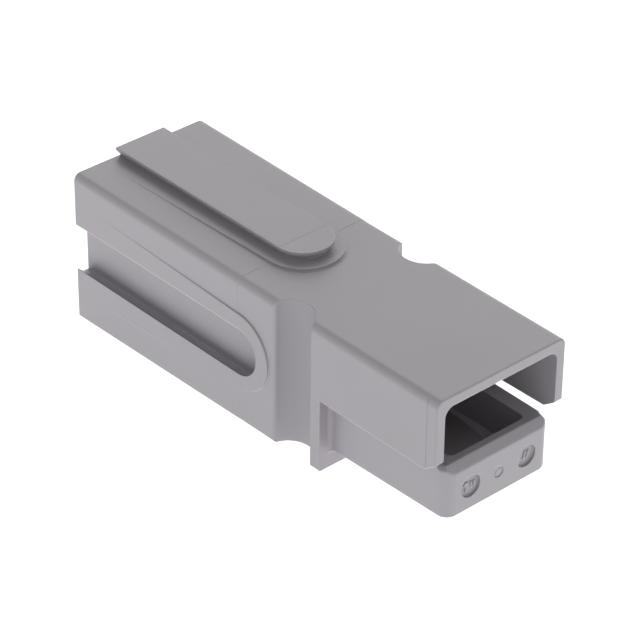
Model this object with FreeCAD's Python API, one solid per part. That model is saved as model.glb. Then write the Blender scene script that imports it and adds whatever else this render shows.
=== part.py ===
"""Genderless single-pole power connector: one moulded housing and the leaf spring in its floor.

All sizes are millimetres. The origin is the centre of the cable entry on the rear face,
+X runs to the mating end and +Z is up. Two of these housings mate when one is turned
half round about Y, so the plane z = 0 is the plane on which the two halves meet.
"""
import FreeCAD, Part
import math
import os

V = FreeCAD.Vector
X_AXIS = V(1, 0, 0)
Y_AXIS = V(0, 1, 0)
Z_AXIS = V(0, 0, 1)

# Outer block: square at the rear, and smaller at the seam and at the mating end so that it leaves
# its mould
REAR_WIDTH = 15.9
REAR_HEIGHT = 15.9
WIDTH_LOSS_TO_SEAM = 0.3
HEIGHT_LOSS_TO_SEAM = 0.54
LOSS_TO_FRONT = 0.18
SEAM_WIDTH = REAR_WIDTH - WIDTH_LOSS_TO_SEAM
SEAM_HEIGHT = REAR_HEIGHT - HEIGHT_LOSS_TO_SEAM
FRONT_WIDTH = SEAM_WIDTH - LOSS_TO_FRONT
FRONT_HEIGHT = SEAM_HEIGHT - LOSS_TO_FRONT
BODY_LENGTH = 34.25
TOP_EDGE_R = 0.75
LOW_EDGE_R = 0.25

# Seam left by the mould's parts: from where the tongues' noses start, the block is set in a little
SEAM_STEP = 0.02

# Stretch at the hood's lip where its lower corners slope up
LIP_LENGTH = 1.3

# Hood: an upside-down U that covers the mating half of the other housing
HOOD_LENGTH = 14.7
HOOD_EDGE_LIFT = 0.13
SIDE_WALL = 0.98
ROOF_WALL = 1.03
HOOD_ROOT_WIDTH = 13.0
HOOD_ROOT_HEIGHT = 6.05
HOOD_INNER_R = 1.0
LIP_ROUND_R = 0.18
CORNER_SLOPE_DEG = 35.0
CORNER_ROUND_R = 0.4

# Box: the open-topped tongue under the hood, which goes into the other housing's hood
BOX_LENGTH = 14.8
BOX_FRONT_WIDTH = 12.5
BOX_ROOT_WIDTH = 12.85
BOX_FRONT_DEPTH = 5.5
BOX_ROOT_DEPTH = 5.75
RIM_DROP = 0.2
BOX_NOSE_LENGTH = 1.4
BOX_CORNER_R = 1.15
BOX_RIM_R = 0.3
BOX_LOW_R = 0.25
LEAD_LENGTH = 0.8
LEAD_DROP = 0.68
LEAD_SIDE_REAR = 0.3
LEAD_SIDE_FRONT = 0.7
LEAD_EDGE_R = 0.3
ROOT_FLARE_R = 0.45
FRONT_WALL = 1.5
FLOOR_THICK = 1.5
CAVITY_WIDTH = 9.1
CAVITY_CORNER_R = 0.6

# Marks on the front face of the box: two sunk discs and the stub where the plastic was fed in
DISC_R = 1.14
DISC_DEPTH = 0.28
DISC_SPACING = 6.75
DISC_LEVEL = -3.03
CHORD_OFFSET = 0.69
CHORD_TILT_DEG = 20.0
GATE_R = 0.6
GATE_DEPTH = 0.1
GATE_STUB_R = 0.36
GATE_STUB_TIP_R = 0.24
GATE_STUB_HEIGHT = 0.15
GATE_LEVEL = -3.12

# Raised marks in the sunk discs: an arrow and two bars in one, two slanting bars in the other.
# Each stroke runs from one place to another, across and up from its disc's centre.
MARK_WIDTH = 0.17
MARK_HEIGHT = 0.14
ARROW_STROKES = [
    ((-0.42, -0.5), (-0.42, 0.42)),
    ((-0.72, 0.12), (-0.42, 0.42)),
    ((-0.12, 0.12), (-0.42, 0.42)),
]
BAR_STROKES = [((0.2, -0.3), (0.2, 0.3)), ((0.56, -0.3), (0.56, 0.3))]
SLANT_STROKES = [((-0.22, -0.38), (0.04, 0.36)), ((0.18, -0.38), (0.44, 0.36))]

# Dovetail tongues on the top and the +Y side, and the level pads that they stand on
TONGUE_WIDTH = 5.82
TONGUE_NECK = 4.7
TONGUE_PROUD = 0.95
TONGUE_LIP = 0.25
TONGUE_STRAIGHT = 23.25
PAD_REAR_WIDTH = 9.3
PAD_NOSE_WIDTH = 7.9
PAD_DROP = 0.01
PAD_EDGE_R = 0.08

# Dovetail grooves in the -Y side and the bottom, and the level pads that they are cut into
DOVETAIL_CLEARANCE = 0.1
NOSE_CLEARANCE = 0.15
GROOVE_DEPTH = 1.3
GROOVE_PAD_REAR_WIDTH = 10.3
GROOVE_PAD_NOSE_WIDTH = 8.05

# Half-round channels in both sides, for the pin that locks two neighbours together
CHANNEL_SETBACK = 3.6
CHANNEL_PITCH = 16.5
CHANNEL_R = 2.45
CHANNEL_EDGE_R = 0.35
EDGE_ROUNDS = 8

# Passage for the cable and the contact, and the wall with the window that ends it
CABLE_BORE_R = 5.6
CABLE_BORE_DEPTH = 20.0
BARREL_BORE_R = 4.7
WINDOW_WALL = 5.25
WINDOW_TOP = 2.4

# Leaf spring: a steel strip with its tail in a slot, a bow in its middle and its tip in a pocket
SPRING_WIDTH = 5.0
SPRING_THICK = 0.4
SPRING_BOW = 1.0
SPRING_BOW_LENGTH = 9.8
SPRING_FLAT_LENGTH = 5.8
SPRING_BEND_R = 0.5
SPRING_TAIL_DROP = 1.2
SPRING_TAIL_SETBACK = 1.0
SPRING_FIT = 0.1
TIP_POCKET_DEPTH = 0.4

# How far a cutting shape reaches past the face that it cuts, and the distance below which two
# places are the same
REACH = 2.0
TINY = 1e-6

# Places and planes that follow from the sizes above
LENGTH = BODY_LENGTH + HOOD_LENGTH
BOX_END = BODY_LENGTH + BOX_LENGTH
TOP_PLANE = REAR_HEIGHT / 2
SIDE_PLANE = REAR_WIDTH / 2
FLOOR_Z = FLOOR_THICK - BOX_FRONT_DEPTH
NOSE_START = BOX_END - BOX_NOSE_LENGTH
CAVITY_END = BOX_END - FRONT_WALL
LIP_X = LENGTH - LIP_LENGTH
CHANNEL_X = BODY_LENGTH - CHANNEL_SETBACK
BARREL_BORE_END = BODY_LENGTH - WINDOW_WALL
GROOVE_STRAIGHT = TONGUE_STRAIGHT + NOSE_CLEARANCE
SPRING_TAIL_X = BARREL_BORE_END + SPRING_TAIL_SETBACK
SPRING_BOW_START = SPRING_TAIL_X + SPRING_FLAT_LENGTH


def between(rear, front, x, start=0.0, end=LENGTH):
    """The value at x of a size that changes evenly from rear, at start, to front, at end."""
    return rear + (front - rear) * (x - start) / (end - start)


def half_width_at(x):
    """Half the outer block's width at x, from the seam on."""
    return between(SEAM_WIDTH / 2 - SEAM_STEP, FRONT_WIDTH / 2, x, TONGUE_STRAIGHT, LENGTH)


def half_height_at(x):
    """Half the outer block's height at x, from the seam on."""
    return between(SEAM_HEIGHT / 2 - SEAM_STEP, FRONT_HEIGHT / 2, x, TONGUE_STRAIGHT, LENGTH)


def box_half_width_at(x):
    """Half the box's outer width at x."""
    return between(BOX_ROOT_WIDTH, BOX_FRONT_WIDTH, x, BODY_LENGTH, BOX_END) / 2


def box_bottom_at(x):
    """Height of the box's underside at x."""
    return -between(BOX_ROOT_DEPTH, BOX_FRONT_DEPTH, x, BODY_LENGTH, BOX_END)


def closed_wire(edges):
    """One closed wire through the edges, in order."""
    return Part.Wire(Part.__sortEdges__(edges))


def line(start, end):
    """A straight edge."""
    return Part.makeLine(start, end)


def arc(start, middle, end):
    """An edge on the circle through three points."""
    return Part.Arc(start, middle, end).toShape()


def frustum(rear, front, r_low=0.0, r_top=0.0):
    """A flat-sided solid from one upright rectangle to another, with its long edges rounded.

    Each rectangle is given as (x, half width, bottom, top).
    """
    x0, half0, bottom0, top0 = rear
    x1, half1, bottom1, top1 = front
    solid = Part.makeWedge(-half0, x0, bottom0, bottom1, -half1, half0, x1, top0, top1, half1)
    solid.rotate(V(0, 0, 0), Z_AXIS, -90)
    middle = (bottom0 + top0) / 2
    if r_low > 0:
        solid = solid.makeFillet(r_low, long_edges(solid, middle, False))
    if r_top > 0:
        solid = solid.makeFillet(r_top, long_edges(solid, middle, True))
    return solid


def long_edges(solid, middle, upper):
    """The edges that run along the length, above the middle or below it."""
    edges = []
    for edge in solid.Edges:
        ends = edge.Vertexes
        if abs(ends[0].X - ends[1].X) > TINY and (ends[0].Z > middle) == upper:
            edges.append(edge)
    return edges


def loft(sections):
    """A solid with straight walls through the given sections."""
    return Part.makeLoft(sections, True, True)


def fused(shapes):
    """All the shapes as one solid."""
    return shapes[0].multiFuse(shapes[1:]).removeSplitter() if len(shapes) > 1 else shapes[0]


def block(x0, x1, y0, y1, z0, z1):
    """A plain rectangular block between two corners."""
    return Part.makeBox(x1 - x0, y1 - y0, z1 - z0, V(x0, y0, z0))


def stadium(width, straight, level, start=0.0):
    """A flat outline at one level: parallel sides from start, and a half-round nose."""
    radius = width / 2
    return closed_wire([
        line(V(start, -radius, level), V(straight, -radius, level)),
        arc(V(straight, -radius, level), V(straight + radius, 0, level), V(straight, radius, level)),
        line(V(straight, radius, level), V(start, radius, level)),
        line(V(start, radius, level), V(start, -radius, level)),
    ])


def plate(outline, height):
    """The outline filled and raised by the height."""
    return Part.Face(outline).extrude(V(0, 0, height))


def turned(shape, degrees):
    """A copy of a shape turned about the X axis."""
    copy = shape.copy()
    copy.rotate(V(0, 0, 0), X_AXIS, degrees)
    return copy


def on_face(shape, degrees):
    """A copy of what is drawn on the top, moved to the plane of another face and turned onto it."""
    face_plane = SIDE_PLANE if abs(degrees) == 90 else TOP_PLANE
    moved = shape.copy()
    moved.translate(V(0, 0, face_plane - TOP_PLANE))
    return turned(moved, degrees)


def block_section(x):
    """The outer block's rectangle at x, from the seam on."""
    return (x, half_width_at(x), -half_height_at(x), half_height_at(x))


def rear_stretch():
    """The outer block from its rear face to the seam."""
    rear = (0, REAR_WIDTH / 2, -REAR_HEIGHT / 2, REAR_HEIGHT / 2)
    seam = (TONGUE_STRAIGHT, SEAM_WIDTH / 2, -SEAM_HEIGHT / 2, SEAM_HEIGHT / 2)
    return frustum(rear, seam, LOW_EDGE_R, TOP_EDGE_R)


def middle_stretch():
    """The outer block from the seam to the mating half."""
    return frustum(block_section(TONGUE_STRAIGHT), block_section(BODY_LENGTH), LOW_EDGE_R, TOP_EDGE_R)


def hood_stretch():
    """The outer block over the mating half, with the edge of its mouth rounded."""
    solid = frustum(block_section(BODY_LENGTH), block_section(LENGTH))
    solid = solid.makeFillet(TOP_EDGE_R, long_edges(solid, 0, False) + long_edges(solid, 0, True))
    rim = [e for e in solid.Edges if all(abs(v.X - LENGTH) < TINY for v in e.Vertexes)]
    return solid.makeFillet(LIP_ROUND_R, rim)


def under_hood_cut():
    """What is cleared below the hood's edge, with the sloped and rounded front corner."""
    edge = HOOD_EDGE_LIFT
    slope = math.radians(CORNER_SLOPE_DEG)
    corner_z = edge + (LENGTH - LIP_X) * math.tan(slope)
    tangent = CORNER_ROUND_R * math.tan((math.pi / 2 - slope) / 2)
    arc_start = V(LENGTH - tangent * math.cos(slope), 0, corner_z - tangent * math.sin(slope))
    arc_end = V(LENGTH, 0, corner_z + tangent)
    centre = V(LENGTH - CORNER_ROUND_R, 0, corner_z + tangent)
    middle_angle = (slope - math.pi / 2) / 2
    arc_middle = centre + V(math.cos(middle_angle), 0, math.sin(middle_angle)) * CORNER_ROUND_R
    low = -TOP_PLANE - REACH
    outline = [
        line(V(BODY_LENGTH, 0, low), V(BODY_LENGTH, 0, edge)),
        line(V(BODY_LENGTH, 0, edge), V(LIP_X, 0, edge)),
        line(V(LIP_X, 0, edge), arc_start),
        arc(arc_start, arc_middle, arc_end),
        line(arc_end, V(LENGTH + REACH, 0, arc_end.z)),
        line(V(LENGTH + REACH, 0, arc_end.z), V(LENGTH + REACH, 0, low)),
        line(V(LENGTH + REACH, 0, low), V(BODY_LENGTH, 0, low)),
    ]
    face = Part.Face(closed_wire(outline))
    face.translate(V(0, -REAR_WIDTH, 0))
    return face.extrude(V(0, 2 * REAR_WIDTH, 0))


def hood_space():
    """The space inside the hood, a little wider at its mouth than at its root."""
    mouth_half_width = half_width_at(LENGTH) - SIDE_WALL
    mouth_top = half_height_at(LENGTH) - ROOF_WALL
    root_half_width = HOOD_ROOT_WIDTH / 2
    past = LENGTH + REACH
    past_half_width = between(root_half_width, mouth_half_width, past, BODY_LENGTH, LENGTH)
    past_top = between(HOOD_ROOT_HEIGHT, mouth_top, past, BODY_LENGTH, LENGTH)
    low = -REACH
    root = (BODY_LENGTH, root_half_width, low, HOOD_ROOT_HEIGHT)
    return frustum(root, (past, past_half_width, low, past_top), 0, HOOD_INNER_R)


def outer_block():
    """The tapering block with its seams, cleared below and inside the hood."""
    stretches = [rear_stretch(), middle_stretch(), hood_stretch()]
    return fused(stretches).cut([under_hood_cut(), hood_space()])


def box_section(x):
    """The box's outer rectangle at x."""
    return (x, box_half_width_at(x), box_bottom_at(x), -RIM_DROP)


def box_nose():
    """The front end of the box, with round upright corners and a lead-in sloped all round its rim."""
    solid = frustum(box_section(BODY_LENGTH), box_section(BOX_END))
    solid = solid.makeFillet(BOX_CORNER_R, front_uprights(solid, BOX_END))
    low = [e for e in solid.Edges if is_low_front(e)]
    solid = solid.makeFillet(BOX_LOW_R, low)
    solid = solid.common(block(NOSE_START, BOX_END, -TOP_PLANE, TOP_PLANE, -TOP_PLANE, TOP_PLANE))
    solid = solid.cut(lead_in())
    bends = [e for e in solid.Edges if is_lead_in_bend(e)]
    return solid.makeFillet(LEAD_EDGE_R, bends)


def lead_in():
    """What is cleared above the nose's rim: one slope to the front, and one to each side that dies out."""
    past = LEAD_LENGTH + REACH
    front = V(BOX_END - LEAD_LENGTH, 0, -RIM_DROP)
    front_low = front + V(past, 0, -LEAD_DROP * past / LEAD_LENGTH)
    profile = closed_wire([
        line(front, front_low),
        line(front_low, V(front_low.x, 0, REACH)),
        line(V(front_low.x, 0, REACH), V(front.x, 0, REACH)),
        line(V(front.x, 0, REACH), front),
    ])
    face = Part.Face(profile)
    face.translate(V(0, -REAR_WIDTH, 0))
    cuts = [face.extrude(V(0, 2 * REAR_WIDTH, 0))]
    for side in (-1, 1):
        start = V(NOSE_START, side * (box_half_width_at(NOSE_START) - LEAD_SIDE_REAR), -RIM_DROP)
        end = V(BOX_END, side * (box_half_width_at(BOX_END) - LEAD_SIDE_FRONT), -RIM_DROP)
        run = end - start
        near = start - run
        far = near + V(0, side * REACH, -REACH)
        profile = closed_wire([
            line(near, far),
            line(far, V(far.x, far.y, REACH)),
            line(V(far.x, far.y, REACH), V(near.x, near.y, REACH)),
            line(V(near.x, near.y, REACH), near),
        ])
        cuts.append(Part.Face(profile).extrude(run * 3))
    return cuts


def is_lead_in_bend(edge):
    """True for the edges above and below the slopes of the lead-in."""
    ends = edge.Vertexes
    high = all(v.Z > -RIM_DROP - LEAD_DROP - TINY for v in ends)
    across = all(abs(v.X - NOSE_START) < TINY for v in ends)
    upright = abs(ends[0].Z - ends[1].Z) > 3 * LEAD_DROP
    return high and not across and not upright


def is_low_front(edge):
    """True for the lower edges of the box's front and sides."""
    ends = edge.Vertexes
    low = all(v.Z < box_bottom_at(v.X) + TINY for v in ends)
    return low and max(v.X for v in ends) > BODY_LENGTH + TINY


def front_uprights(solid, front):
    """The upright edges of a block at its front face."""
    edges = []
    for edge in solid.Edges:
        ends = edge.Vertexes
        if abs(ends[0].Z - ends[1].Z) > TINY and all(abs(v.X - front) < TINY for v in ends):
            edges.append(edge)
    return edges


def root_flare():
    """The cove that blends the box's sides and underside into the shoulder."""
    radius = ROOT_FLARE_R
    half_width = box_half_width_at(BODY_LENGTH)
    bottom = box_bottom_at(BODY_LENGTH)
    tip_x = BODY_LENGTH + radius
    bow = radius * (1 - math.sqrt(0.5))
    plan = closed_wire([
        line(V(BODY_LENGTH, half_width + radius, 0), V(BODY_LENGTH, -half_width - radius, 0)),
        arc(V(BODY_LENGTH, -half_width - radius, 0), V(BODY_LENGTH + bow, -half_width - bow, 0),
            V(tip_x, -half_width, 0)),
        line(V(tip_x, -half_width, 0), V(tip_x, half_width, 0)),
        arc(V(tip_x, half_width, 0), V(BODY_LENGTH + bow, half_width + bow, 0),
            V(BODY_LENGTH, half_width + radius, 0)),
    ])
    side = closed_wire([
        line(V(BODY_LENGTH, 0, -RIM_DROP), V(BODY_LENGTH, 0, bottom - radius)),
        arc(V(BODY_LENGTH, 0, bottom - radius), V(BODY_LENGTH + bow, 0, bottom - bow), V(tip_x, 0, bottom)),
        line(V(tip_x, 0, bottom), V(tip_x, 0, -RIM_DROP)),
        line(V(tip_x, 0, -RIM_DROP), V(BODY_LENGTH, 0, -RIM_DROP)),
    ])
    across = Part.Face(plan)
    across.translate(V(0, 0, bottom - radius))
    across = across.extrude(V(0, 0, -RIM_DROP - bottom + radius))
    along = Part.Face(side)
    along.translate(V(0, -half_width - radius, 0))
    along = along.extrude(V(0, 2 * (half_width + radius), 0))
    return across.common(along)


def box_shell():
    """The box before it is hollowed, from inside the shoulder to its front face."""
    root = BODY_LENGTH - ROOT_FLARE_R
    length = frustum(box_section(root), box_section(NOSE_START), BOX_LOW_R, BOX_RIM_R)
    return fused([length, box_nose(), root_flare()])


def closing_outline(rear_width, nose_width, straight, start, level):
    """A flat outline whose sides close in from x = 0 to a half-round nose at straight."""
    radius = nose_width / 2
    rear_half = between(rear_width, nose_width, start, 0, straight) / 2
    return closed_wire([
        line(V(start, -rear_half, level), V(straight, -radius, level)),
        arc(V(straight, -radius, level), V(straight + radius, 0, level), V(straight, radius, level)),
        line(V(straight, radius, level), V(start, rear_half, level)),
        line(V(start, rear_half, level), V(start, -rear_half, level)),
    ])


def dovetail_tongue():
    """A tongue that stands on the top plane, wider at its lip than at its neck."""
    lip_base = TOP_PLANE + TONGUE_PROUD - TONGUE_LIP
    neck = stadium(TONGUE_NECK, TONGUE_STRAIGHT, TOP_PLANE)
    shoulder = stadium(TONGUE_WIDTH, TONGUE_STRAIGHT, lip_base)
    root = stadium(TONGUE_NECK, TONGUE_STRAIGHT, TOP_PLANE - TONGUE_PROUD)
    return fused([plate(root, TONGUE_PROUD), loft([neck, shoulder]), plate(shoulder, TONGUE_LIP)])


def pad(rear_width, nose_width, straight):
    """A level pad, which the falling face of the block leaves more proud towards its nose."""
    outline = closing_outline(rear_width, nose_width, straight, 0, TOP_PLANE - TONGUE_PROUD)
    solid = plate(outline, TONGUE_PROUD - PAD_DROP)
    level = TOP_PLANE - PAD_DROP - TINY
    rim = [e for e in solid.Edges if e.CenterOfMass.x > TINY and e.CenterOfMass.z > level]
    return solid.makeFillet(PAD_EDGE_R, rim)


def dovetail_groove():
    """The cut that takes a neighbour's tongue, open at the rear."""
    neck_width = TONGUE_NECK + 2 * DOVETAIL_CLEARANCE
    wide_width = TONGUE_WIDTH + 2 * DOVETAIL_CLEARANCE
    wide_level = TOP_PLANE - TONGUE_PROUD + TONGUE_LIP
    floor_level = TOP_PLANE - GROOVE_DEPTH
    mouth = stadium(neck_width, GROOVE_STRAIGHT, TOP_PLANE, -REACH)
    wide = stadium(wide_width, GROOVE_STRAIGHT, wide_level, -REACH)
    floor = stadium(wide_width, GROOVE_STRAIGHT, floor_level, -REACH)
    return fused([plate(mouth, REACH), loft([wide, mouth]), plate(floor, wide_level - floor_level)])


def channel_edge_cut(side):
    """What rounds the upright edge at the rear of one pin channel."""
    centre = V(CHANNEL_X, side * CHANNEL_PITCH / 2, 0)
    reach = CHANNEL_R
    for _ in range(EDGE_ROUNDS):
        wall = half_width_at(CHANNEL_X - reach)
        inset = CHANNEL_PITCH / 2 - wall + CHANNEL_EDGE_R
        reach = math.sqrt((CHANNEL_R + CHANNEL_EDGE_R) ** 2 - inset ** 2)
    pivot = centre - V(reach, side * inset, 0)
    on_wall = V(pivot.x, side * wall, 0)
    on_channel = centre + (pivot - centre).normalize() * CHANNEL_R
    middle = pivot + (on_wall - pivot + on_channel - pivot).normalize() * CHANNEL_EDGE_R
    outside = on_wall + V(0, side * REACH, 0)
    outline = [
        line(on_wall, outside),
        line(outside, V(CHANNEL_X, outside.y, 0)),
        line(V(CHANNEL_X, outside.y, 0), centre),
        line(centre, on_channel),
        arc(on_channel, middle, on_wall),
    ]
    face = Part.Face(closed_wire(outline))
    face.translate(V(0, 0, -REAR_HEIGHT))
    return face.extrude(V(0, 0, 2 * REAR_HEIGHT))


def pin_channels():
    """The two upright half-round channels, each of which faces a neighbour's."""
    height = REAR_HEIGHT + 2 * REACH
    return [
        Part.makeCylinder(CHANNEL_R, height, V(CHANNEL_X, side * CHANNEL_PITCH / 2, -height / 2), Z_AXIS)
        for side in (-1, 1)
    ]


def cavity():
    """The inside of the box and the window that joins it to the contact's bore."""
    half = CAVITY_WIDTH / 2
    well = block(BODY_LENGTH, CAVITY_END, -half, half, FLOOR_Z, REACH)
    well = well.makeFillet(CAVITY_CORNER_R, front_uprights(well, CAVITY_END))
    window = block(BARREL_BORE_END, BODY_LENGTH + REACH, -half, half, FLOOR_Z, WINDOW_TOP)
    return [well, window]


def contact_passage():
    """The round bores for the cable and for the contact's barrel."""
    cable = Part.makeCylinder(CABLE_BORE_R, CABLE_BORE_DEPTH + REACH, V(-REACH, 0, 0), X_AXIS)
    barrel = Part.makeCylinder(BARREL_BORE_R, BARREL_BORE_END - CABLE_BORE_DEPTH + REACH,
                               V(CABLE_BORE_DEPTH - REACH, 0, 0), X_AXIS)
    return [cable, barrel]


def spring_seats():
    """The slot for the spring's tail and the pocket for its tip."""
    half = SPRING_WIDTH / 2 + SPRING_FIT
    bend_end = SPRING_TAIL_X + SPRING_BEND_R + SPRING_THICK / 2
    slot = block(SPRING_TAIL_X - SPRING_FIT, bend_end, -half, half,
                 FLOOR_Z - SPRING_TAIL_DROP - SPRING_FIT, FLOOR_Z + SPRING_THICK)
    pocket = block(CAVITY_END - SPRING_FIT, CAVITY_END + TIP_POCKET_DEPTH, -half, half,
                   FLOOR_Z, FLOOR_Z + SPRING_THICK + SPRING_FIT)
    return [slot, pocket]


def raised_stroke(centre, start, end):
    """A straight raised stroke on a disc's floor, between two places across and up from its centre."""
    run = V(0, end[0] - start[0], end[1] - start[1])
    half = run.cross(X_AXIS).normalize() * (MARK_WIDTH / 2)
    near = centre + V(0, start[0], start[1])
    far = centre + V(0, end[0], end[1])
    corners = [near + half, far + half, far - half, near - half]
    sides = [line(corners[i], corners[(i + 1) % 4]) for i in range(4)]
    return Part.Face(closed_wire(sides)).extrude(V(MARK_HEIGHT, 0, 0))


def sunk_disc(side, strokes):
    """The cut for one sunk disc, with the strokes left standing on its floor."""
    centre = V(BOX_END - DISC_DEPTH, side * DISC_SPACING / 2, DISC_LEVEL)
    disc = Part.makeCylinder(DISC_R, REACH, centre, X_AXIS)
    return centre, disc.cut([raised_stroke(centre, start, end) for start, end in strokes])


def chord_keep(centre):
    """What one disc leaves flush with the face, beyond a slanting chord."""
    keep = block(0, REACH, CHORD_OFFSET, CHORD_OFFSET + DISC_R, -DISC_R, DISC_R)
    keep.rotate(V(0, 0, 0), X_AXIS, 180 - CHORD_TILT_DEG)
    keep.translate(centre)
    return keep


def front_marks():
    """The sunk discs and the ring round the feed stub, cut into the box's front face."""
    _, left = sunk_disc(-1, ARROW_STROKES + BAR_STROKES)
    centre, right = sunk_disc(1, SLANT_STROKES)
    marks = [left, right.cut(chord_keep(centre))]
    ring = Part.makeCylinder(GATE_R, REACH, V(BOX_END - GATE_DEPTH, 0, GATE_LEVEL), X_AXIS)
    base = V(BOX_END - GATE_DEPTH, 0, GATE_LEVEL)
    stub = Part.makeCone(GATE_STUB_R, GATE_STUB_TIP_R, GATE_STUB_HEIGHT, base, X_AXIS)
    marks.append(ring.cut(stub))
    return marks


def housing():
    """The moulded housing, in one piece."""
    shape = fused([outer_block(), box_shell()])
    tongue_pad = pad(PAD_REAR_WIDTH, PAD_NOSE_WIDTH, TONGUE_STRAIGHT)
    groove_pad = pad(GROOVE_PAD_REAR_WIDTH, GROOVE_PAD_NOSE_WIDTH, GROOVE_STRAIGHT)
    cuts = []
    for degrees in (0, -90):
        shape = shape.multiFuse([on_face(tongue_pad, degrees), on_face(dovetail_tongue(), degrees)])
    for degrees in (90, 180):
        shape = shape.multiFuse([on_face(groove_pad, degrees)])
        cuts.append(on_face(dovetail_groove(), degrees))
    cuts += pin_channels() + [channel_edge_cut(-1), channel_edge_cut(1)]
    cuts += cavity() + contact_passage() + spring_seats() + front_marks()
    return shape.cut(cuts).removeSplitter()


def leaf_spring():
    """The bent steel strip that lies on the floor and presses the contact up."""
    low = FLOOR_Z
    high = FLOOR_Z + SPRING_THICK
    inner_r = SPRING_BEND_R - SPRING_THICK / 2
    outer_r = inner_r + SPRING_THICK
    tail_x = SPRING_TAIL_X
    tail_low = FLOOR_Z - SPRING_TAIL_DROP
    bend_x = tail_x + outer_r
    bend_z = high - outer_r
    diagonal = math.sqrt(0.5)
    bow_end = SPRING_BOW_START + SPRING_BOW_LENGTH
    crest_x = SPRING_BOW_START + SPRING_BOW_LENGTH / 2
    tip_x = CAVITY_END + TIP_POCKET_DEPTH - SPRING_FIT
    top_line = [
        line(V(tail_x, 0, tail_low), V(tail_x, 0, bend_z)),
        arc(V(tail_x, 0, bend_z), V(bend_x - outer_r * diagonal, 0, bend_z + outer_r * diagonal),
            V(bend_x, 0, high)),
        line(V(bend_x, 0, high), V(SPRING_BOW_START, 0, high)),
        arc(V(SPRING_BOW_START, 0, high), V(crest_x, 0, high + SPRING_BOW), V(bow_end, 0, high)),
        line(V(bow_end, 0, high), V(tip_x, 0, high)),
    ]
    tip = [line(V(tip_x, 0, high), V(tip_x, 0, low))]
    low_line = [
        line(V(tip_x, 0, low), V(bow_end, 0, low)),
        arc(V(bow_end, 0, low), V(crest_x, 0, low + SPRING_BOW), V(SPRING_BOW_START, 0, low)),
        line(V(SPRING_BOW_START, 0, low), V(bend_x, 0, low)),
        arc(V(bend_x, 0, low), V(bend_x - inner_r * diagonal, 0, bend_z + inner_r * diagonal),
            V(bend_x - inner_r, 0, bend_z)),
        line(V(bend_x - inner_r, 0, bend_z), V(bend_x - inner_r, 0, tail_low)),
        line(V(bend_x - inner_r, 0, tail_low), V(tail_x, 0, tail_low)),
    ]
    face = Part.Face(closed_wire(top_line + tip + low_line))
    face.translate(V(0, -SPRING_WIDTH / 2, 0))
    return face.extrude(V(0, SPRING_WIDTH, 0))


def main():
    """Write one file per node."""
    os.makedirs("parts", exist_ok=True)
    nodes = {
        "housing": housing(),
        "retention_spring": leaf_spring(),
    }
    for name, shape in nodes.items():
        solid = shape.Solids[0] if len(shape.Solids) == 1 else shape
        print(name, "solids", len(shape.Solids), "valid", solid.isValid(), "volume", round(solid.Volume, 2))
        solid.exportStep("parts/" + name + ".step")


main()
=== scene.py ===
"""Looks of a grey genderless power connector housing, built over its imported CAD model.

Everything is in metres in the CAD model's frame: the origin is the centre of the cable entry
on the rear face, +X runs to the mating end and +Z is up. Sizes in the classes are millimetres.
"""

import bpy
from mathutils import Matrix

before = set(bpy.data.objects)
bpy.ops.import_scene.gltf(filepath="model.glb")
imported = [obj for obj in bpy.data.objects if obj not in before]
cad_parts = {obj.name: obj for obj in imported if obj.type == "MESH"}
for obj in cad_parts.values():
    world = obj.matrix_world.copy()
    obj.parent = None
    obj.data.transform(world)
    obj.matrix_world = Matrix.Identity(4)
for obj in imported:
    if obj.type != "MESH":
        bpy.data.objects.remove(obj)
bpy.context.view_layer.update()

import logging
import math
from collections.abc import Iterable
from dataclasses import dataclass, field
from typing import Any

import bmesh
import bpy
from mathutils import Matrix, Vector

MM = 0.001
WHITE = (1.0, 1.0, 1.0, 1.0)
LOG = logging.getLogger("connector")

Node = bpy.types.Node
Socket = bpy.types.NodeSocket
Tree = bpy.types.NodeTree


def linear(hex_colour: str) -> tuple[float, float, float, float]:
    """Turns an sRGB colour into the linear one that shaders take.

    Args:
        hex_colour: The colour as "#rrggbb".

    Returns:
        Linear red, green and blue, and an alpha of 1.
    """
    channels = []
    for start in (1, 3, 5):
        value = int(hex_colour[start : start + 2], 16) / 255
        channels.append(value / 12.92 if value <= 0.04045 else ((value + 0.055) / 1.055) ** 2.4)
    return (channels[0], channels[1], channels[2], 1.0)


def direction(azimuth_deg: float, elevation_deg: float) -> Vector:
    """Gives the way from the housing to a lamp or to the camera.

    Args:
        azimuth_deg: Angle about Z: 0 faces the near side (-Y) and 90 the mating end (+X).
        elevation_deg: Angle above the floor.

    Returns:
        A vector of length 1.
    """
    azimuth, elevation = math.radians(azimuth_deg), math.radians(elevation_deg)
    return Vector(
        (
            math.sin(azimuth) * math.cos(elevation),
            -math.cos(azimuth) * math.cos(elevation),
            math.sin(elevation),
        )
    )


def add_node(
    tree: Tree, kind: str, feeds: dict[str | int, Any] | None = None, **settings: Any
) -> Node:
    """Adds a node to a tree, with its settings, and feeds its sockets.

    Args:
        tree: The node tree.
        kind: The node's type, such as "ShaderNodeTexNoise".
        feeds: A value or another node's output socket for each input, by name or number.
        **settings: The node's own properties.

    Returns:
        The new node.
    """
    node = tree.nodes.new(kind)
    for name, value in settings.items():
        setattr(node, name, value)
    for key, value in (feeds or {}).items():
        if isinstance(value, bpy.types.NodeSocket):
            tree.links.new(value, node.inputs[key])
        else:
            node.inputs[key].default_value = value
    return node


def add_math(tree: Tree, operation: str, *values: float | Socket) -> Socket:
    """Adds a Math node.

    Args:
        tree: The node tree.
        operation: What the node works out, such as "MULTIPLY".
        *values: A number or another node's output socket for each input, in order.

    Returns:
        The result.
    """
    feeds = dict(enumerate(values))
    return add_node(tree, "ShaderNodeMath", feeds, operation=operation).outputs[0]


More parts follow.
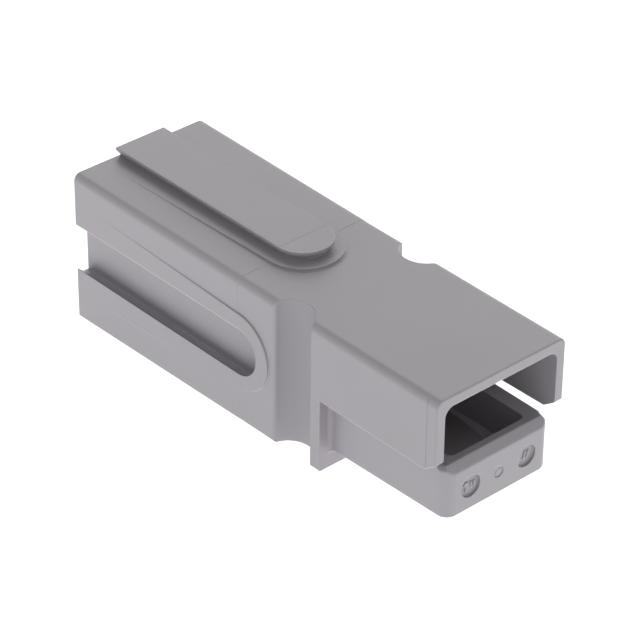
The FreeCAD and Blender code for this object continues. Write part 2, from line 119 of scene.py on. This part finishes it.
def blend(tree: Tree, share: Socket, below: Any, above: Any) -> Socket:
    """Mixes two colours.

    Args:
        tree: The node tree.
        share: How much of the second colour there is, from 0 to 1.
        below: The first colour, or the socket that gives it.
        above: The second colour.

    Returns:
        The mixed colour.
    """
    feeds = {0: share, 6: below, 7: above}
    return add_node(tree, "ShaderNodeMix", feeds, data_type="RGBA").outputs[2]


def add_noise(
    tree: Tree, place: Socket, size_mm: float, detail: float, roughness: float = 0.5
) -> Socket:
    """Adds a cloudy pattern.

    Args:
        tree: The node tree.
        place: The coordinates, in metres.
        size_mm: How wide the pattern's clouds are.
        detail: How many finer layers there are.
        roughness: How strong the finer layers are.

    Returns:
        The pattern, from 0 to 1.
    """
    feeds = {"Vector": place, "Scale": 1 / (size_mm * MM), "Detail": detail, "Roughness": roughness}
    return add_node(tree, "ShaderNodeTexNoise", feeds).outputs["Fac"]


def add_relief(tree: Tree, height: Socket, depth_mm: float, normal: Socket) -> Socket:
    """Lays a fine relief over a surface.

    Args:
        tree: The node tree.
        height: The relief's height, from 0 to 1.
        depth_mm: How deep it is.
        normal: The surface's normal.

    Returns:
        The normal with the relief in it.
    """
    feeds = {"Height": height, "Distance": depth_mm * MM, "Strength": 1.0, "Normal": normal}
    return add_node(tree, "ShaderNodeBump", feeds).outputs["Normal"]


def build_material(name: str) -> tuple[bpy.types.Material, Tree, Node]:
    """Starts a material with one shader.

    Args:
        name: The material's name.

    Returns:
        The material, its node tree and its shader.
    """
    material = bpy.data.materials.new(name)
    material.use_nodes = True
    tree = material.node_tree
    tree.nodes.clear()
    shader = add_node(tree, "ShaderNodeBsdfPrincipled")
    add_node(tree, "ShaderNodeOutputMaterial", {"Surface": shader.outputs["BSDF"]})
    return material, tree, shader


def set_shader(tree: Tree, shader: Node, feeds: dict[str, Any]) -> None:
    """Feeds a shader's sockets.

    Args:
        tree: The material's node tree.
        shader: The shader.
        feeds: A value or another node's output socket for each input.
    """
    for name, value in feeds.items():
        if isinstance(value, bpy.types.NodeSocket):
            tree.links.new(value, shader.inputs[name])
        else:
            shader.inputs[name].default_value = value


def seen_directly(tree: Tree) -> Socket:
    """Tells what the camera and reflections see from what lights the object.

    Args:
        tree: The node tree to work in.

    Returns:
        1 for camera, glossy and transmission rays and 0 for the rest.
    """
    rays = add_node(tree, "ShaderNodeLightPath")
    seen = rays.outputs["Is Camera Ray"]
    for kind in ("Is Glossy Ray", "Is Transmission Ray"):
        seen = add_math(tree, "MAXIMUM", seen, rays.outputs[kind])
    return seen


@dataclass(frozen=True)
class MouldedPolycarbonate:
    """Injection-moulded grey polycarbonate from a lightly spark-eroded mould.

    The mould's fine grain breaks the gloss into a soft satin sheen; slow variations in tone and
    gloss come from the way the plastic flowed. Joints in the mould leave fine darker lines, and
    sharp edges that point down or forward carry a painted highlight: a paler colour that stands in
    for light.
    """

    colour: str = "#a29ea4"
    flow_colour: str = "#9c989e"
    flow_mm: float = 7.0
    flow_range: tuple[float, float] = (0.3, 0.7)
    roughness: float = 0.42
    roughness_spread: float = 0.03
    ior: float = 1.585
    grain_mm: float = 0.09
    grain_depth_mm: float = 0.0022
    ripple_mm: float = 2.2
    ripple_depth_mm: float = 0.004
    edge_radius_mm: float = 0.09
    edge_samples: int = 8
    line_colour: str = "#7f7d82"
    line_half_width_mm: float = 0.035
    tongue_line_x_mm: float = 23.25
    tongue_top_mm: float = 8.88
    hood_line_x_mm: float = 47.75
    hood_side_mm: float = 7.5
    # painted highlight: a paler colour on sharp edges that point down or forward, standing in for
    # light
    edge_highlight_colour: str = "#dedbd9"
    edge_highlight_towards: tuple[float, float, float] = (0.6, 0.0, -0.8)
    edge_highlight_range: tuple[float, float] = (0.08, 0.35)

    def material(self) -> bpy.types.Material:
        """Builds the material.

        Returns:
            The material for the housing.
        """
        material, tree, shader = build_material("moulded_grey_polycarbonate")
        place = add_node(tree, "ShaderNodeTexCoord").outputs["Object"]
        flow = add_noise(tree, place, self.flow_mm, 3.0, 0.55)
        radius = self.edge_radius_mm * MM
        edges = add_node(tree, "ShaderNodeBevel", {"Radius": radius}, samples=self.edge_samples)
        rounded = edges.outputs["Normal"]
        colour = blend(tree, flow, linear(self.flow_colour), linear(self.colour))
        colour = self._with_mould_lines(tree, place, colour)
        # painted highlight along the sharp edges that point down or forward
        colour = self._with_painted_edge_highlights(tree, rounded, colour)
        ripple = add_noise(tree, place, self.ripple_mm, 2.0)
        grain = add_noise(tree, place, self.grain_mm, 2.0, 0.6)
        normal = add_relief(tree, ripple, self.ripple_depth_mm, rounded)
        normal = add_relief(tree, grain, self.grain_depth_mm, normal)
        gloss = add_node(
            tree,
            "ShaderNodeMapRange",
            {
                "Value": flow,
                "From Min": self.flow_range[0],
                "From Max": self.flow_range[1],
                "To Min": self.roughness - self.roughness_spread,
                "To Max": self.roughness + self.roughness_spread,
            },
        )
        set_shader(
            tree,
            shader,
            {
                "Base Color": colour,
                "Roughness": gloss.outputs["Result"],
                "IOR": self.ior,
                "Normal": normal,
            },
        )
        return material

    def _with_mould_lines(self, tree: Tree, place: Socket, colour: Socket) -> Socket:
        """Draws the fine lines across the tongue's top and on the hood's sides.

        Args:
            tree: The material's node tree.
            place: The Object coordinates.
            colour: The plastic's colour.

        Returns:
            The colour with the lines in it.
        """
        axes = add_node(tree, "ShaderNodeSeparateXYZ", {"Vector": place})
        x, height = axes.outputs["X"], axes.outputs["Z"]
        aside = add_math(tree, "ABSOLUTE", axes.outputs["Y"])
        half_width = self.line_half_width_mm * MM
        lines = []
        for x_mm, distance, least_mm in (
            (self.tongue_line_x_mm, height, self.tongue_top_mm),
            (self.hood_line_x_mm, aside, self.hood_side_mm),
        ):
            across = add_math(tree, "COMPARE", x, x_mm * MM, half_width)
            outside = add_math(tree, "GREATER_THAN", distance, least_mm * MM)
            lines.append(add_math(tree, "MULTIPLY", across, outside))
        return blend(tree, add_math(tree, "MAXIMUM", *lines), colour, linear(self.line_colour))

    def _with_painted_edge_highlights(self, tree: Tree, rounded: Socket, colour: Socket) -> Socket:
        """Paints highlights on the sharp edges that point down or forward: it lightens their
        colour.

        Args:
            tree: The material's node tree.
            rounded: The normal with its edges rounded.
            colour: The plastic's colour.

        Returns:
            The colour with the pale edges in it.
        """
        flat = add_node(tree, "ShaderNodeNewGeometry").outputs["Normal"]
        turn = add_node(tree, "ShaderNodeVectorMath", {0: rounded, 1: flat}, operation="SUBTRACT")
        feeds = {0: turn.outputs["Vector"], 1: self.edge_highlight_towards}
        towards = add_node(tree, "ShaderNodeVectorMath", feeds, operation="DOT_PRODUCT")
        share = add_node(
            tree,
            "ShaderNodeMapRange",
            {
                "Value": towards.outputs["Value"],
                "From Min": self.edge_highlight_range[0],
                "From Max": self.edge_highlight_range[1],
            },
        )
        # painted highlight: the paler colour is blended in where an edge turns down or forward
        return blend(tree, share.outputs["Result"], colour, linear(self.edge_highlight_colour))


@dataclass(frozen=True)
class RolledStainless:
    """Cold-rolled stainless strip: satin, a little duller where the rolling lines run close."""

    colour: str = "#8f8e8c"
    roughness: float = 0.4
    roughness_spread: float = 0.04
    line_mm: float = 0.12
    stretch: float = 40.0

    def material(self) -> bpy.types.Material:
        """Builds the material.

        Returns:
            The material for the leaf spring.
        """
        material, tree, shader = build_material("rolled_stainless_strip")
        place = add_node(tree, "ShaderNodeTexCoord").outputs["Object"]
        squeeze = {"Vector": place, "Scale": (1 / self.stretch, 1, 1)}
        along = add_node(tree, "ShaderNodeMapping", squeeze).outputs["Vector"]
        gloss = add_node(
            tree,
            "ShaderNodeMapRange",
            {
                "Value": add_noise(tree, along, self.line_mm, 1.0),
                "To Min": self.roughness - self.roughness_spread,
                "To Max": self.roughness + self.roughness_spread,
            },
        )
        set_shader(
            tree,
            shader,
            {
                "Base Color": linear(self.colour),
                "Metallic": 1.0,
                "Roughness": gloss.outputs["Result"],
            },
        )
        return material


@dataclass(frozen=True)
class StudioPaper:
    """Matt white paper sweep: it bounces the lamps' light up at the sides, glows to light the
    object from below, and shows white to the camera.
    """

    colour: str = "#f4f4f4"
    camera_lift: float = 0.85
    # light the floor itself gives off onto the object, as a glowing table would
    glow: float = 1.05

    def material(self) -> bpy.types.Material:
        """Builds the material.

        Returns:
            The material for the floor.
        """
        material, tree, shader = build_material("glowing_white_paper")
        # the floor glows at the glow level for rays that light the object, and at the camera lift
        # for the camera and reflections
        lift = add_node(
            tree,
            "ShaderNodeMapRange",
            {"Value": seen_directly(tree), "To Min": self.glow, "To Max": self.camera_lift},
        )
        set_shader(
            tree,
            shader,
            {
                "Base Color": linear(self.colour),
                "Roughness": 1.0,
                "Specular IOR Level": 0.0,
                "Emission Color": WHITE,
                "Emission Strength": lift.outputs["Result"],
            },
        )
        return material


@dataclass
class CadPiece:
    """A piece that is shown in the CAD's own shape and with its smooth faces."""

    node: str
    finish: MouldedPolycarbonate | RolledStainless

    def dress(self) -> bpy.types.Object:
        """Gives the CAD node its finish.

        Returns:
            The node.
        """
        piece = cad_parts[self.node]
        piece.material_slots[0].material = self.finish.material()
        return piece


@dataclass
class Housing(CadPiece):
    """The moulded housing."""

    node: str = "housing"
    finish: MouldedPolycarbonate = field(default_factory=MouldedPolycarbonate)


@dataclass
class LeafSpring(CadPiece):
    """The steel leaf spring on the box's floor."""

    node: str = "retention_spring"
    finish: RolledStainless = field(default_factory=RolledStainless)


@dataclass(frozen=True)
class Softbox:
    """A square soft lamp that faces the housing."""

    name: str
    azimuth_deg: float
    elevation_deg: float
    watts: float
    distance_mm: float = 320.0
    width_mm: float = 340.0
    aim_mm: tuple[float, float, float] = (24.0, 0.0, 0.0)

    def hang(self) -> bpy.types.Object:
        """Adds the lamp to the scene.

        Returns:
            The lamp.
        """
        away = direction(self.azimuth_deg, self.elevation_deg)
        data = bpy.data.lights.new(self.name, "AREA")
        data.shape = "SQUARE"
        data.size = self.width_mm * MM
        data.energy = self.watts
        lamp = bpy.data.objects.new(self.name, data)
        lamp.location = (Vector(self.aim_mm) + away * self.distance_mm) * MM
        lamp.rotation_mode = "QUATERNION"
        lamp.rotation_quaternion = (-away).to_track_quat("-Z", "Y")
        bpy.context.scene.collection.objects.link(lamp)
        return lamp


@dataclass
class Studio:
    """White paper, soft lamps and an even surround."""

    floor_mm: float = -7.95
    floor_size_mm: float = 3000.0
    surround: float = 0.01
    lamps: tuple[Softbox, ...] = (
        Softbox("behind_left", 225, 35, 0.39),
        Softbox("behind", 180, 35, 0.24),
        Softbox("near_left", 315, 35, 0.225),
        Softbox("near", 0, 35, 0.155),
        Softbox("front", 90, 28, 0.31),
    )
    finish: StudioPaper = field(default_factory=StudioPaper)

    def build(self) -> None:
        """Lays the floor, hangs the lamps and sets the surround."""
        mesh = bpy.data.meshes.new("paper_floor")
        bm = bmesh.new()
        bmesh.ops.create_grid(bm, x_segments=1, y_segments=1, size=self.floor_size_mm * MM / 2)
        bmesh.ops.translate(bm, vec=(0, 0, self.floor_mm * MM), verts=bm.verts)
        bm.to_mesh(mesh)
        bm.free()
        mesh.materials.append(self.finish.material())
        floor = bpy.data.objects.new("paper_floor", mesh)
        bpy.context.scene.collection.objects.link(floor)
        for lamp in self.lamps:
            lamp.hang()
        self._surround()

    def _surround(self) -> None:
        """Sets the world: white to the camera and to reflections, and all but dark as light."""
        world = bpy.data.worlds.new("studio_surround")
        bpy.context.scene.world = world
        world.use_nodes = True
        tree = world.node_tree
        tree.nodes.clear()
        level = add_node(
            tree,
            "ShaderNodeMapRange",
            {"Value": seen_directly(tree), "To Min": self.surround, "To Max": 1.0},
        )
        feeds = {"Color": WHITE, "Strength": level.outputs["Result"]}
        light = add_node(tree, "ShaderNodeBackground", feeds)
        add_node(tree, "ShaderNodeOutputWorld", {"Surface": light.outputs["Background"]})


@dataclass(frozen=True)
class Viewpoint:
    """The camera, at the angle and distance the reference view was taken from."""

    position_mm: tuple[float, float, float] = (203.58, -161.42, 160.82)
    azimuth_deg: float = 47.7844
    elevation_deg: float = 33.6319
    roll_deg: float = 0.6278
    lens_mm: float = 178.44
    sensor_mm: float = 36.0
    clip_mm: tuple[float, float] = (10.0, 10000.0)

    def place(self) -> bpy.types.Object:
        """Adds the camera and makes it the scene's.

        Returns:
            The camera.
        """
        data = bpy.data.cameras.new("viewpoint")
        data.sensor_width = self.sensor_mm
        data.lens = self.lens_mm
        data.clip_start, data.clip_end = (distance * MM for distance in self.clip_mm)
        camera = bpy.data.objects.new("viewpoint", data)
        aim = (-direction(self.azimuth_deg, self.elevation_deg)).to_track_quat("-Z", "Y")
        roll = Matrix.Rotation(math.radians(self.roll_deg), 3, "Z")
        turn = (aim.to_matrix() @ roll).to_4x4()
        camera.matrix_world = Matrix.Translation(Vector(self.position_mm) * MM) @ turn
        bpy.context.scene.collection.objects.link(camera)
        bpy.context.scene.camera = camera
        return camera


def report(pieces: Iterable[bpy.types.Object]) -> None:
    """Logs each finished piece.

    Args:
        pieces: The pieces.
    """
    for piece in pieces:
        LOG.info("%s: %d faces", piece.name, len(piece.data.polygons))


def main() -> None:
    """Builds the housing, the spring, the studio and the camera."""
    logging.basicConfig(level=logging.INFO, format="%(name)s %(message)s")
    report([Housing().dress(), LeafSpring().dress()])
    Studio().build()
    Viewpoint().place()
    bpy.context.scene.view_settings.view_transform = "Standard"


if __name__ == "__main__":
    main()
